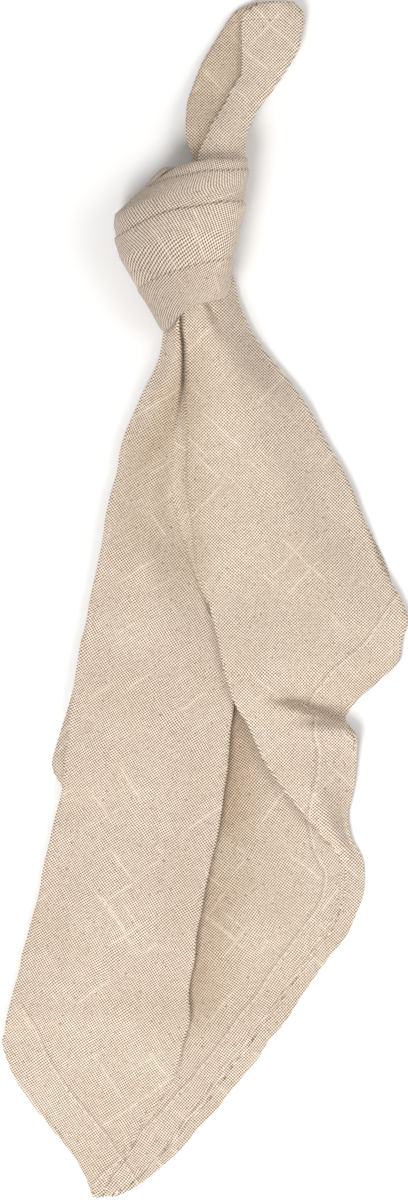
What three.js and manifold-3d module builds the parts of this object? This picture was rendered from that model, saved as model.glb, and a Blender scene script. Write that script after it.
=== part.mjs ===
// A linen napkin tied in an overhand knot near one corner and laid flat.
// Millimetres, +Z up, resting on z = 0. +Y runs from the free corner to the knotted one.
import * as THREE from "three";
import Module from "manifold-3d";

const wasm = await Module();
wasm.setup();

// Driving dimensions of the cloth and of the way it lies.
const clothThickness = 1.2;
const half = clothThickness / 2;
const layerPitch = 1.8;
const foldRadius = layerPitch / 2;
const outlineRoll = 1.6;
const hemFlat = 4;
const shortestEdge = 0.05;
const openLap = -4;
const closedLap = 3;
const slopeShares = [0.015, -0.02];
const lobePoints = 6;
const floorPoints = 4;
const linen = { color: 0xcdbba3, roughness: 0.95, metalness: 0 };

// The body of the napkin, one row for each cross-section from the knot down to the free corner.
// left, right: the outline. leftEdge, rightEdge: the fold edges of the two lobes over the valley.
// Lap: how far a lobe's cloth doubles back under its edge; at the open lap it is a plain slope.
// Step: height of an edge over the valley floor. Rise: crown of a lobe. flap: end of the turned-under side.
// roll: 1 where the right outline is a fold, 0 where it is the hem. hemZ: height of that hem.
const bodyColumns = [
  "y", "left", "leftEdge", "leftLap", "leftStep", "leftRise",
  "rightEdge", "rightLap", "rightStep", "rightRise", "right", "floor", "flap", "roll", "hemZ",
];
const bodyRows = [
  [140, -12, -10, -4, 0, 2, -7, 4, 4.0, 4.0, 12, 11.5, 5, 1, 0.6],
  [125, -15, -11, -4, 0, 3, -8.5, 5, 4.0, 6.0, 16, 11.0, 8, 1, 0.6],
  [116, -17, -12, -4, 0, 1.5, -8.5, 6, 4.0, 7.0, 20, 10.5, 11, 1, 0.6],
  [103, -19.5, -13, -4, 0, 2, -7, 6, 4.0, 8.0, 29, 9.0, 18, 1, 0.6],
  [86, -27.5, -15, -4, 0, 3, -8, 3, 3.8, 7.5, 42.5, 7.8, 30, 1, 0.6],
  [69, -34.5, -16, -4, 0, 3.8, -7.5, -2, 4.0, 6.0, 52, 6.6, 40, 1, 0.6],
  [52, -38, -14, -4, 0.1, 4.6, -7.5, -4, 4.0, 5.8, 61.5, 6.0, 48, 1, 0.6],
  [34, -42.5, -11.5, -4, 0.4, 5.2, -5.5, -4, 3.8, 5.8, 69, 5.8, 54, 1, 0.6],
  [17, -45, -7, -3.5, 0.9, 5.6, -4, -3.5, 3.8, 5.8, 75.5, 5.7, 60, 1, 0.6],
  [0, -49, 0, -2.8, 1.6, 6, 1.5, -1.5, 4.4, 5.8, 84, 5.6, 66, 1, 0.6],
  [-9, -50.5, 5.5, -1.2, 2.3, 6, 4.5, 5, 6.0, 5.4, 87.2, 5.5, 68, 1, 0.6],
  [-17, -52, 10, 2, 3.0, 6, 6, 12, 7.6, 5.0, 85.5, 5.3, 68, 0.5, 1.6],
  [-26, -54, 13, 10, 3.6, 6, 8, 20, 8.2, 4.5, 84.5, 5.0, 66, 0, 2.0],
  [-34, -55.5, 14, 16, 4.0, 6, 10, 26, 8.2, 4.0, 76.5, 4.6, 58, 0, 1.6],
  [-43, -57, 13, 22, 4.2, 6, 13, 30, 7.8, 4.0, 66.5, 4.4, 52, 0, 2.2],
  [-48, -57.3, 12.3, 24, 4.4, 6, 15.5, 30, 7.0, 4.0, 62.5, 4.3, 50, 0, 2.6],
  [-52, -57.6, 11.7, 26, 4.6, 6, 18, 30, 6.2, 4.0, 61, 4.2, 48, 0, 3.0],
  [-56, -58, 11.3, 27, 4.8, 6, 20, 29, 5.6, 4.0, 64, 4.0, 49, 0, 4.0],
  [-60, -58.5, 11, 28, 5.0, 6, 21.5, 28, 5.2, 4.0, 66, 3.8, 51, 0, 3.6],
  [-69, -59.5, 10, 28, 5.0, 6, 26, 26, 5.0, 4.0, 66, 3.4, 52, 0, 2.4],
  [-86, -62, 8, 28, 5.0, 6, 38, 17, 5.0, 3.5, 63.5, 2.8, 48, 0, 1.8],
  [-95, -64, 6.5, 28, 5.0, 6, 45.5, 10, 4.6, 3.0, 62, 2.6, 42, 0, 1.8],
  [-103, -66, 5, 28, 5.0, 6, 52.5, 4, 4.0, 2.5, 63.5, 2.5, 32, 0, 1.8],
  [-112, -68, 3, 27, 5.0, 6, 59, -1, 3.0, 1.5, 68.5, 2.4, 20, 0, 1.6],
  [-120, -69.5, 1.5, 26, 5.0, 6, 59, -4, 1.5, 1.0, 69, 2.4, 8, 0, 1.4],
  [-138, -74, -2.5, 24, 5.0, 6, 55, -4, 0.2, 0.5, 65, 2.4, -16, 0, 0.6],
  [-155, -78.5, -4.5, 18, 4.6, 6, 44, -4, 0, 0, 53.5, 1.4, -40, 0, 0.6],
  [-172, -82.5, -7, 9, 4.2, 5.5, 32, -4, 0, 0, 41.5, 0.6, -63, 0, 0.6],
  [-181, -85, -6.5, 4, 4.0, 5.2, 26, -4, 0, 0, 35.5, 0.6, -76, 0, 0.6],
  [-189, -87.5, -8, 0, 3.4, 5, 20, -4, 0, 0, 29, 0.6, -87.5, 0, 0.6],
  [-198, -85, -10.5, -2, 2.6, 4.5, 13, -4, 0, 0, 23, 0.6, -85, 0, 0.6],
  [-206, -81.5, -13.5, -4, 1.8, 4, 8, -4, 0, 0, 16.5, 0.6, -81.5, 0, 0.6],
  [-224, -69.5, -25, -4, 0.8, 2.5, -6, -4, 0, 0, 1.5, 0.6, -69.5, 0, 0.6],
  [-241, -55.5, -35, -4, 0.2, 1.2, -20, -4, 0, 0, -14.5, 0.6, -55.5, 0, 0.6],
  [-249, -51, -40, -4, 0, 0.5, -28, -4, 0, 0, -23, 0.6, -51, 0, 0.6],
  [-257.5, -48, -44, -4, 0, 0.2, -40, -4, 0, 0, -38, 0.6, -48, 0, 0.6],
];
const rightTuck = [9, 5];
const flapShares = [0.1, 0.5, 1];
const leastFlap = 3;
const overUnderAt = 10;

// The crossways fold of the right lobe: its crest line, and how deep and wide its trough is.
const crossFold = {
  x0: 25, y0: -44, x1: 66, y1: -59, fade: 14, steep: 2, lip: 1,
  trough: 3.2, troughWidth: 9, crest: 2.2, crestWidth: 12,
};

// The turned-under corner that lies flat on the table and shows at the left of the body.
const underColumns = ["leftX", "leftY", "rightX", "rightY"];
const underRows = [
  [-10, 132, 12, 132],
  [-18, 103, 26, 103],
  [-33, 69, 49, 69],
  [-41, 34, 66, 40],
  [-47, 0, 79, 14],
  [-52, -20, 82, -2],
  [-58, -44, 83, -10],
  [-63.5, -62, 83, -15],
  [-65.5, -72, 82, -19],
  [-61, -81, 80, -22],
];
const underPoints = 7;
const underHem = { x0: -61, y0: -81, x1: 80, y1: -22, rampFrom: 12, rampTo: 3 };

// The band of the knot, one row for each line across its front: left end, right end, crown and pleat offset.
const bandColumns = ["leftX", "leftY", "rightX", "rightY", "crown", "pleat"];
const bandRows = [
  [-12, 184, 18, 189.5, 24.0, 0.0],
  [-23, 178, 18.2, 185, 26.0, -0.6],
  [-25.5, 176, 18.2, 183.5, 26.0, 1.4],
  [-33, 169, 17.8, 176, 28.0, 0.6],
  [-37.5, 157, 17, 170.5, 29.0, -0.6],
  [-38, 155, 16.8, 169, 29.0, 1.4],
  [-34.5, 144, 14.6, 157, 29.0, 0.6],
  [-28.5, 134, 12.4, 147, 28.0, -0.6],
  [-27.5, 132.5, 12, 145.5, 28.0, 1.4],
  [-22.5, 125.5, 10.4, 137.5, 26.5, 0.6],
  [-17.5, 117, 9, 130.5, 24.0, 0.0],
];
const bandWaist = 11;
const bandBow = 2.5;
const bandSides = 28;
const bandCorner = 2.6;

// The small loop of cloth that shows behind the band at its upper left.
const earPath = [
  [-27, 170, 12], [-25.5, 177.5, 14], [-19, 183, 15], [-12, 184.5, 15], [-5, 178, 14],
];
const earWidth = 3;
const earHeight = 6;
const earSteps = 8;
const earSides = 10;

// The knotted corner above the band: outline, edge of its front flap, and the heights of its layers.
const tailColumns = ["y", "left", "crease", "right", "under", "flap"];
const tailRows = [
  [178, -1, 1, 15, 9, 15],
  [189.5, -4, -2, 17.5, 7.5, 16],
  [202, -8, 2.5, 18.5, 4.6, 14],
  [210.5, -7.5, 7.5, 22.5, 2.6, 11.5],
  [218.5, -5.5, 11.5, 28.5, 1.2, 9.5],
  [228, -2.5, 17, 35, 0.6, 8.2],
  [238.5, 3.5, 17, 40.5, 0.6, 7.4],
  [244.5, 7, 16.5, 41.8, 0.6, 6.8],
  [249.5, 10.5, 16.8, 42.6, 0.6, 6.2],
  [254, 15, 19.5, 41.8, 0.6, 5.8],
  [257.5, 23, 26, 38, 0.6, 5.4],
];
const tailLap = 4;
const tailRise = 1.5;
const tailDrop = 1;
const tailShares = { lap: 0.2, under: 0.25, turn: 0.3 };

const mix = (a, b, t) => a + (b - a) * t;
const clamp01 = (t) => Math.min(1, Math.max(0, t));
const smooth = (from, to, v) => {
  const t = clamp01((v - from) / (to - from));
  return t * t * (3 - 2 * t);
};

function named(columns, row) {
  return Object.fromEntries(columns.map((name, i) => [name, row[i]]));
}

// A run of count points strictly between two points, with a crown added in the middle.
function run(from, to, count, rise = 0) {
  const points = [];
  for (let i = 1; i <= count; i++) {
    const t = i / (count + 1);
    points.push([mix(from[0], to[0], t), mix(from[1], to[1], t) + rise * 4 * t * (1 - t)]);
  }
  return points;
}

// Four points of a half turn about a centre, from one angle to another in degrees.
function turn(x, z, radius, from, to) {
  return [0, 1, 2, 3].map((i) => {
    const angle = THREE.MathUtils.degToRad(mix(from, to, i / 3));
    return [x + radius * Math.cos(angle), z + radius * Math.sin(angle)];
  });
}

// The fold between a high layer and the floor, walked from the high side. side is +1 where the high
// layer lies to the right of its edge. A positive lap doubles back, a negative one opens to a slope.
function foldStep(edge, lap, high, low, width, side) {
  const step = Math.max(high - low, 2 * layerPitch);
  const depth = Math.max(lap, closedLap);
  const top = low + step;
  const folded = [
    ...turn(side * foldRadius, top - foldRadius, foldRadius, 90, side > 0 ? 270 : -90),
    [side * depth * 0.5, mix(top - layerPitch, low + layerPitch, 0.5)],
    ...turn(side * (depth - foldRadius), low + foldRadius, foldRadius, 90, side > 0 ? -90 : 270),
  ];
  const slope = folded.map((_, i) => {
    const t = i / (folded.length - 1);
    return [side * mix(...slopeShares, t) * width, mix(high, low, smooth(0, 1, t))];
  });
  const weight = smooth(openLap, closedLap, lap);
  return folded.map(([x, z], i) => [edge + mix(slope[i][0], x, weight), mix(slope[i][1], z, weight)]);
}

// Height that the turned-under corner adds to whatever lies over it.
function overUnder(x, y) {
  const h = underHem;
  const hemY = mix(h.y0, h.y1, clamp01((x - h.x0) / (h.x1 - h.x0)));
  return layerPitch * smooth(hemY - h.rampFrom, hemY - h.rampTo, y);
}

function crossFoldHeight(x, y) {
  const f = crossFold;
  const length = Math.hypot(f.x1 - f.x0, f.y1 - f.y0);
  const along = ((x - f.x0) * (f.x1 - f.x0) + (y - f.y0) * (f.y1 - f.y0)) / length;
  const above = ((y - f.y0) * (f.x1 - f.x0) - (x - f.x0) * (f.y1 - f.y0)) / length;
  const strength = smooth(0, f.fade, along);
  const trough = above > 0 ? 1 - smooth(0, f.troughWidth, above) : 1 - smooth(0, -f.steep, above);
  const crest = above < 0 ? 1 - smooth(0, -f.crestWidth, above + f.lip) : 0;
  return strength * (crest * f.crest - trough * f.trough);
}

// One cross-section of the body: right outline, right lobe, valley, left lobe, left outline, flap.
function bodySection(row) {
  const s = named(bodyColumns, row);
  const width = s.right - s.left;
  const rightTop = s.floor + s.rightStep;
  const leftTop = s.floor + s.leftStep;
  const rollTop = half + 2 * outlineRoll;
  const rolled = [
    ...rightTuck.map((reach) => [s.right - reach, half]),
    ...turn(s.right - outlineRoll, half + outlineRoll, outlineRoll, -90, 90),
  ];
  const hemWidth = Math.min(hemFlat, 0.1 * width);
  const hem = rolled.map((_, i) => [s.right - hemWidth * (i / rolled.length), s.hemZ]);
  const rightEnd = rolled.map(([x, z], i) => [mix(hem[i][0], x, s.roll), mix(hem[i][1], z, s.roll)]);
  const rightFold = foldStep(s.rightEdge, s.rightLap, rightTop, s.floor, width, 1);
  const leftFold = foldStep(s.leftEdge, s.leftLap, leftTop, s.floor, width, -1).reverse();
  const lastRight = rightEnd[rightEnd.length - 1];
  const rightRun = run(lastRight, rightFold[0], lobePoints, s.rightRise);
  const floorRun = run(rightFold[rightFold.length - 1], leftFold[0], floorPoints);

  const hasFlap = s.flap > s.left;
  const flapZ = half + overUnder(s.left + overUnderAt, s.y);
  const leftRollX = s.left + outlineRoll;
  const rolledLeft = [
    ...turn(leftRollX, flapZ + outlineRoll, outlineRoll, 90, 270),
    ...flapShares.map((t) => {
      const x = mix(leftRollX, Math.max(s.flap, leftRollX + leastFlap), t);
      return [x, half + overUnder(x, s.y)];
    }),
  ];
  const flatLeft = rolledLeft.map((_, i) => [s.left + hemWidth * (1 - i / (rolledLeft.length - 1)), half]);
  const leftEnd = hasFlap ? rolledLeft : flatLeft;
  const leftRun = run(leftFold[leftFold.length - 1], leftEnd[0], lobePoints, s.leftRise);
  const bent = rightRun.map(([x, z]) => [x, z + crossFoldHeight(x, s.y)]);
  const points = [...rightEnd, ...bent, ...rightFold, ...floorRun, ...leftFold, ...leftRun, ...leftEnd];
  return points.map(([x, z]) => new THREE.Vector3(x, s.y, z));
}

function underSection(row) {
  const s = named(underColumns, row);
  return Array.from({ length: underPoints }, (_, i) => {
    const t = i / (underPoints - 1);
    return new THREE.Vector3(mix(s.rightX, s.leftX, t), mix(s.rightY, s.leftY, t), half);
  });
}

// One cross-section of the knotted corner: under layer, right outline, front flap, recessed left part.
function tailSection(row) {
  const s = named(tailColumns, row);
  const width = s.right - s.left;
  const radius = (s.flap - s.under) / 2;
  const turnWidth = Math.min(radius, tailShares.turn * width);
  const outline = turn(0, 0, 1, -90, 90).map(([x, z]) => [
    s.right - turnWidth + x * turnWidth, s.under + radius + z * radius,
  ]);
  const low = s.flap - 2 * layerPitch;
  const lap = Math.min(tailLap, tailShares.lap * width);
  const crease = foldStep(s.crease, lap, s.flap, low, width, 1);
  const start = [s.left + tailShares.under * width, s.under];
  const end = [s.left, Math.max(s.under + layerPitch, low - tailDrop)];
  const points = [
    start, ...run(start, outline[0], 3), ...outline, ...run(outline[3], crease[0], 3, tailRise),
    ...crease, ...run(crease[crease.length - 1], end, 2, tailRise / 2), end,
  ];
  return points.map(([x, z]) => new THREE.Vector3(x, s.y, z));
}

// A closed solid from vertices and triangles, turned so that its faces point out.
function closedSolid(vertices, triangles) {
  let volume = 0;
  for (const [a, b, c] of triangles) {
    volume += vertices[a].dot(new THREE.Vector3().crossVectors(vertices[b], vertices[c]));
  }
  const ordered = volume > 0 ? triangles : triangles.map(([a, b, c]) => [a, c, b]);
  return new wasm.Manifold(new wasm.Mesh({
    numProp: 3,
    vertProperties: new Float32Array(vertices.flatMap((v) => [v.x, v.y, v.z])),
    triVerts: new Uint32Array(ordered.flat()),
  }));
}

// A sheet of the cloth's thickness whose middle surface runs through the given sections.
function sheet(sections) {
  const count = sections[0].length;
  const upper = [];
  const lower = [];
  for (const section of sections) {
    section.forEach((point, i) => {
      const before = section[Math.max(i - 1, 0)];
      const after = section[Math.min(i + 1, count - 1)];
      const dx = after.x - before.x;
      const dz = after.z - before.z;
      const length = Math.hypot(dx, dz);
      const nx = -dz / length * half;
      const nz = dx / length * half;
      upper.push(new THREE.Vector3(point.x + nx, point.y, Math.max(0, point.z + nz)));
      lower.push(new THREE.Vector3(point.x - nx, point.y, Math.max(0, point.z - nz)));
    });
  }
  const size = upper.length;
  const triangles = [];
  const quad = (a, b, c, d) => triangles.push([a, b, c], [a, c, d]);
  for (let r = 0; r + 1 < sections.length; r++) {
    for (let i = 0; i + 1 < count; i++) {
      const a = r * count + i;
      const b = a + 1;
      quad(a, b, b + count, a + count);
      quad(size + a, size + a + count, size + b + count, size + b);
    }
    const first = r * count;
    const last = first + count - 1;
    quad(first, first + count, size + first + count, size + first);
    quad(last + count, last, size + last, size + last + count);
  }
  const tail = (sections.length - 1) * count;
  for (let i = 0; i + 1 < count; i++) {
    quad(i + 1, i, size + i, size + i + 1);
    quad(tail + i, tail + i + 1, size + tail + i + 1, size + tail + i);
  }
  return closedSolid([...upper, ...lower], triangles);
}

// A solid skinned over closed rings, its two ends closed on their middles.
function skinned(rings) {
  const count = rings[0].length;
  const middle = (ring) => ring.reduce((sum, p) => sum.add(p), new THREE.Vector3()).divideScalar(count);
  const vertices = [...rings.flat(), middle(rings[0]), middle(rings[rings.length - 1])];
  const firstMiddle = vertices.length - 2;
  const lastMiddle = vertices.length - 1;
  const lastRing = (rings.length - 1) * count;
  const triangles = [];
  for (let i = 0; i < count; i++) {
    const next = (i + 1) % count;
    for (let r = 0; r + 1 < rings.length; r++) {
      const a = r * count + i;
      const b = r * count + next;
      triangles.push([a, b, b + count], [a, b + count, a + count]);
    }
    triangles.push([firstMiddle, next, i], [lastMiddle, lastRing + i, lastRing + next]);
  }
  return closedSolid(vertices, triangles);
}

// One ring of the knot's band, around everything that passes through it.
function bandRing(row) {
  const s = named(bandColumns, row);
  const signedPower = (v) => Math.sign(v) * Math.abs(v) ** (2 / bandCorner);
  return Array.from({ length: bandSides }, (_, i) => {
    const angle = (2 * Math.PI * i) / bandSides;
    const across = signedPower(Math.cos(angle));
    const up = signedPower(Math.sin(angle));
    const t = (across + 1) / 2;
    const bow = bandBow * (1 - across * across) * Math.sign(Math.sin(angle));
    const height = up > 0 ? s.crown - bandWaist + s.pleat : bandWaist;
    return new THREE.Vector3(
      mix(s.leftX, s.rightX, t),
      mix(s.leftY, s.rightY, t) + bow,
      Math.max(0, bandWaist + up * height),
    );
  });
}

function earLoop() {
  const curve = new THREE.CatmullRomCurve3(earPath.map((p) => new THREE.Vector3(...p)));
  const up = new THREE.Vector3(0, 0, 1);
  const rings = Array.from({ length: earSteps + 1 }, (_, i) => {
    const centre = curve.getPoint(i / earSteps);
    const sideways = curve.getTangent(i / earSteps).cross(up).normalize();
    return Array.from({ length: earSides }, (_, k) => {
      const angle = (2 * Math.PI * k) / earSides;
      return centre.clone()
        .addScaledVector(sideways, earWidth * Math.cos(angle))
        .addScaledVector(up, earHeight * Math.sin(angle));
    });
  });
  return skinned(rings);
}

const pieces = [
  sheet(bodyRows.map(bodySection)),
  sheet(underRows.map(underSection)),
  skinned(bandRows.map(bandRing)),
  earLoop(),
  sheet(tailRows.map(tailSection)),
];
const napkin = pieces.reduce((joined, piece) => joined.add(piece));

// The joined solid as a geometry, with edges shorter than the shortest one drawn together.
function toGeometry(solid) {
  const mesh = solid.getMesh();
  const place = (i) => new THREE.Vector3().fromArray(mesh.vertProperties, mesh.numProp * i);
  const target = Array.from({ length: mesh.numVert }, (_, i) => i);
  const find = (i) => {
    while (target[i] !== i) i = target[i];
    return i;
  };
  for (let t = 0; t < mesh.triVerts.length; t += 3) {
    for (const [from, to] of [[0, 1], [1, 2], [2, 0]]) {
      const a = find(mesh.triVerts[t + from]);
      const b = find(mesh.triVerts[t + to]);
      if (a !== b && place(a).distanceTo(place(b)) < shortestEdge) target[Math.max(a, b)] = Math.min(a, b);
    }
  }
  const index = [];
  for (let t = 0; t < mesh.triVerts.length; t += 3) {
    const corners = [0, 1, 2].map((k) => find(mesh.triVerts[t + k]));
    if (new Set(corners).size === 3) index.push(...corners);
  }
  const geometry = new THREE.BufferGeometry();
  geometry.setAttribute("position", new THREE.BufferAttribute(mesh.vertProperties, mesh.numProp));
  geometry.setIndex(index);
  return geometry;
}

const napkinMesh = new THREE.Mesh(toGeometry(napkin), new THREE.MeshStandardMaterial(linen));
napkinMesh.name = "napkin";
const part = new THREE.Group();
part.add(napkinMesh);

export default part;
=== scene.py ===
import math

import bpy
import numpy as np
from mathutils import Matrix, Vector, noise


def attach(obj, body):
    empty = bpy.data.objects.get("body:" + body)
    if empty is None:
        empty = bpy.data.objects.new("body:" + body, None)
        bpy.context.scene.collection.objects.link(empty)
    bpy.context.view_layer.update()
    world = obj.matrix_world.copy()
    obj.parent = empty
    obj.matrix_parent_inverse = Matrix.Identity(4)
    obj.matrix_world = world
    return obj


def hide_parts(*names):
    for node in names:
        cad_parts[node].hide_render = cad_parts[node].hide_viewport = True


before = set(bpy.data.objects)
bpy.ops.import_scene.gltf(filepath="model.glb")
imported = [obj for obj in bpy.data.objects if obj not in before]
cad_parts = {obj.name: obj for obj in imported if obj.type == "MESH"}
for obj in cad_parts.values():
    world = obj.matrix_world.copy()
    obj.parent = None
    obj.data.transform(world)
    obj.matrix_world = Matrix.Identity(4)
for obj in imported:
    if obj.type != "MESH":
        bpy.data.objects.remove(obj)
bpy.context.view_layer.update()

# The body of the napkin, the open part of a square of plain-weave linen, hemmed all round. It lies
# from inside the knot down to the free corner. Its right lobe folds over a valley, its left lobe
# too, and both outlines turn under. One row of the table is one cross-section, in millimetres:
# where a lobe's fold lies, how far the cloth goes on under it, its step over the valley's floor and
# the rise of its arch; how far the cloth under the left outline reaches; 1 where the right outline
# is rolled and 0 where it is a free hem, and that hem's height.
# y, left, left_edge, left_lap, left_step, left_rise, right_edge, right_lap, right_step,
# right_rise, right, floor, flap, roll, hem_z
BODY = [
    [140, -12, -10, -4, 0, 2, -7, 4, 4.0, 6.0, 12, 14.5, 5, 1, 0.6],
    [125, -15, -10.6, -4, 2.6, 2, -8.5, 5, 4.0, 8.0, 16, 13.4, 8, 1, 0.6],
    [116, -17, -10.6, -4, 3.2, 1.5, -8.5, 6, 4.4, 8.5, 20, 11.6, 11, 1, 0.6],
    [103, -19.5, -9.4, -4, 3.2, 1.8, -7, 6, 4.6, 8.4, 29, 9.0, 18, 1, 0.6],
    [86, -27.5, -11, -4, 2.2, 2.6, -8, 3, 4.2, 7.5, 42.5, 7.4, 30, 1, 0.6],
    [69, -34.5, -13.5, -4, 0.8, 3.6, -7.5, -2, 4.0, 6.0, 52, 6.6, 40, 1, 0.6],
    [52, -38, -14, -4, 0.1, 4.6, -7.5, -4, 4.0, 5.8, 61.5, 6.0, 48, 1, 0.6],
    [34, -42.5, -11.5, -4, 0.4, 5.2, -5.5, -4, 3.8, 5.8, 69, 5.8, 54, 1, 0.6],
    [17, -45, -7, -3.5, 0.9, 5.6, -4, -3.5, 3.8, 5.8, 75.5, 5.7, 60, 1, 0.6],
    [0, -49, 0, -2.8, 1.6, 6, 1.5, -1.5, 4.4, 5.8, 84, 5.6, 66, 1, 0.6],
    [-9, -50.5, 5.5, -1.2, 2.3, 6, 4.5, 5, 6.0, 5.4, 87.2, 5.5, 68, 1, 0.6],
    [-17, -52, 10, 2, 3.0, 6, 6, 12, 7.6, 5.0, 85.5, 5.3, 68, 0.5, 1.6],
    [-26, -54, 13, 10, 3.6, 6, 8, 20, 8.2, 4.5, 84.5, 5.0, 66, 0, 2.0],
    [-34, -55.5, 14, 16, 4.0, 6, 10, 26, 8.2, 4.0, 76.5, 4.6, 58, 0, 1.6],
    [-43, -57, 13, 22, 4.2, 6, 13, 30, 7.8, 4.0, 66.5, 4.4, 52, 0, 2.2],
    [-48, -57.3, 12.3, 24, 4.4, 6, 15.5, 30, 7.0, 4.0, 62.5, 4.3, 50, 0, 2.6],
    [-52, -57.6, 11.7, 26, 4.6, 6, 18, 30, 6.2, 4.0, 61, 4.2, 48, 0, 3.0],
    [-56, -58, 11.3, 27, 4.8, 6, 20, 29, 5.6, 4.0, 64, 4.0, 49, 0, 4.0],
    [-60, -58.5, 11, 28, 5.0, 6, 21.5, 28, 5.2, 4.0, 66, 3.8, 51, 0, 3.6],
    [-69, -59.5, 10, 28, 5.0, 6, 26, 26, 5.0, 4.0, 66, 3.4, 52, 0, 2.4],
    [-86, -62, 8, 28, 5.0, 6, 38, 17, 5.0, 3.5, 63.5, 2.8, 48, 0, 1.8],
    [-95, -64, 6.5, 28, 5.0, 6, 45.5, 10, 4.6, 3.0, 62, 2.6, 42, 0, 1.8],
    [-103, -66, 5, 28, 5.0, 6, 52.5, 4, 4.0, 2.5, 63.5, 2.5, 32, 0, 1.8],
    [-112, -68, 3, 27, 5.0, 6, 59, -1, 3.0, 1.5, 68.5, 2.4, 20, 0, 1.6],
    [-120, -69.5, 1.5, 26, 5.0, 6, 59, -4, 1.5, 1.0, 69, 2.4, 8, 0, 1.4],
    [-138, -74, -2.5, 24, 5.0, 6, 55, -4, 0.2, 0.5, 65, 2.4, -16, 0, 0.6],
    [-155, -78.5, -4.5, 18, 4.6, 6, 44, -4, 0, 0, 53.5, 1.4, -40, 0, 0.6],
    [-172, -82.5, -7, 9, 4.2, 5.5, 32, -4, 0, 0, 41.5, 0.6, -63, 0, 0.6],
    [-181, -85, -6.5, 4, 4.0, 5.2, 26, -4, 0, 0, 35.5, 0.6, -76, 0, 0.6],
    [-189, -87.5, -8, 0, 3.4, 5, 20, -4, 0, 0, 29, 0.6, -87.5, 0, 0.6],
    [-198, -85, -10.5, -2, 2.6, 4.5, 13, -4, 0, 0, 23, 0.6, -85, 0, 0.6],
    [-206, -81.5, -13.5, -4, 1.8, 4, 8, -4, 0, 0, 16.5, 0.6, -81.5, 0, 0.6],
    [-224, -69.5, -25, -4, 0.8, 2.5, -6, -4, 0, 0, 1.5, 0.6, -69.5, 0, 0.6],
    [-241, -55.5, -35, -4, 0.2, 1.2, -20, -4, 0, 0, -14.5, 0.6, -55.5, 0, 0.6],
    [-249, -51, -40, -4, 0, 0.5, -28, -4, 0, 0, -23, 0.6, -51, 0, 0.6],
    [-257.5, -48, -44, -4, 0, 0.2, -40, -4, 0, 0, -38, 0.6, -48, 0, 0.6],
]
ROW_Y, ROW_LEFT, ROW_RIGHT = 0, 1, 10
BODY_PITCH, BODY_CLOSE, BODY_CLOSE_PITCH = 2.9, (172, 208), 1.2

# The sheet is twice HALF thick. The tables give heights at which its lowest layer rests at
# RESTING, and the finer sheet is set down from there. Layers lie LAYER_PITCH above one another.
MM = 0.001
HALF = 0.42
RESTING = 0.6
LAYER_PITCH = 1.8
FOLD_RADIUS = LAYER_PITCH / 2


def mix(a, b, t):
    return a + (b - a) * t


def smooth(start, end, v):
    t = np.clip((np.asarray(v, float) - start) / (end - start), 0.0, 1.0)
    return t * t * (3 - 2 * t)


def fine_rows(rows, pitch, close=(0, 0), close_pitch=1.0):
    """Rows of a table at an even pitch along its first column, closer in one stretch, on a smooth curve."""
    table = np.array(rows, float)
    steps = np.abs(np.diff(table[:, 0]))
    place = np.concatenate([[0], np.cumsum(steps)])
    places = np.concatenate([
        np.arange(0, close[0], pitch),
        np.arange(*close, close_pitch),
        np.arange(close[1], place[-1], pitch),
        place[-1:],
    ])
    slopes = np.gradient(table, place, axis=0)
    secants = np.abs(np.diff(table, axis=0) / steps[:, None])
    limit = 3 * np.minimum(np.vstack([secants[:1], secants]), np.vstack([secants, secants[-1:]]))
    slopes = np.clip(slopes, -limit, limit)
    result = []
    for at in places:
        i = min(max(int(np.searchsorted(place, at)) - 1, 0), len(steps) - 1)
        h = steps[i]
        t = (at - place[i]) / h
        result.append(
            (2 * t**3 - 3 * t**2 + 1) * table[i] + (t**3 - 2 * t**2 + t) * h * slopes[i]
            + (3 * t**2 - 2 * t**3) * table[i + 1] + (t**3 - t**2) * h * slopes[i + 1]
        )
    return result


def run(start, end, count, rise=0.0, level=0.0):
    """Points from one place to another, arched; at level 1 both ends of the arch lie level."""
    t = np.arange(1, count + 1) / (count + 1)
    start, end = np.array(start), np.array(end)
    points = start + (end - start) * t[:, None]
    points[:, 1] = mix(start[1], end[1], mix(t, smooth(0, 1, t), level))
    points[:, 1] += rise * mix(4 * t * (1 - t), 16 * t**2 * (1 - t) ** 2, level)
    return points


def turn(x, z, radius, start, end, count=9):
    """An arc round a place, from one angle to another, in degrees."""
    angles = np.radians(np.linspace(start, end, count))
    return np.stack([x + radius * np.cos(angles), z + radius * np.sin(angles)], axis=1)


# From OPEN_LAP to CLOSED_LAP a slope becomes a fold, whose lap is the depth of the cloth under it.
OPEN_LAP, CLOSED_LAP = -4.0, 3.0
SLOPE_BEFORE, SLOPE_PAST = 0.015, 0.02
LAP_COUNT = 7


def fold_step(edge, lap, high, low, width, side):
    """The fold between a high layer and the floor, from the high side; side is +1 where it lies right."""
    depth = max(lap, CLOSED_LAP)
    top = low + max(high - low, 2 * LAYER_PITCH)
    inner = side * (depth - FOLD_RADIUS)
    folded = np.vstack([
        turn(side * FOLD_RADIUS, top - FOLD_RADIUS, FOLD_RADIUS, 90, 90 + side * 180),
        run((side * FOLD_RADIUS, top - LAYER_PITCH), (inner, low + LAYER_PITCH), LAP_COUNT),
        turn(inner, low + FOLD_RADIUS, FOLD_RADIUS, 90, 90 - side * 180),
    ])
    t = np.linspace(0, 1, len(folded))
    across = side * width * mix(SLOPE_BEFORE, -SLOPE_PAST, t)
    slope = np.stack([across, mix(high, low, smooth(0, 1, t))], axis=1)
    result = mix(slope, folded, smooth(OPEN_LAP, CLOSED_LAP, lap))
    result[:, 0] += edge
    return result


# Past the hem of the corner that is turned under it, the body comes down on the table.
UNDER_HEM_LEFT, UNDER_HEM_RIGHT = (-61, -81), (80, -22)
DROP_FROM, DROP_TO = 3.0, 12.0


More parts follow.
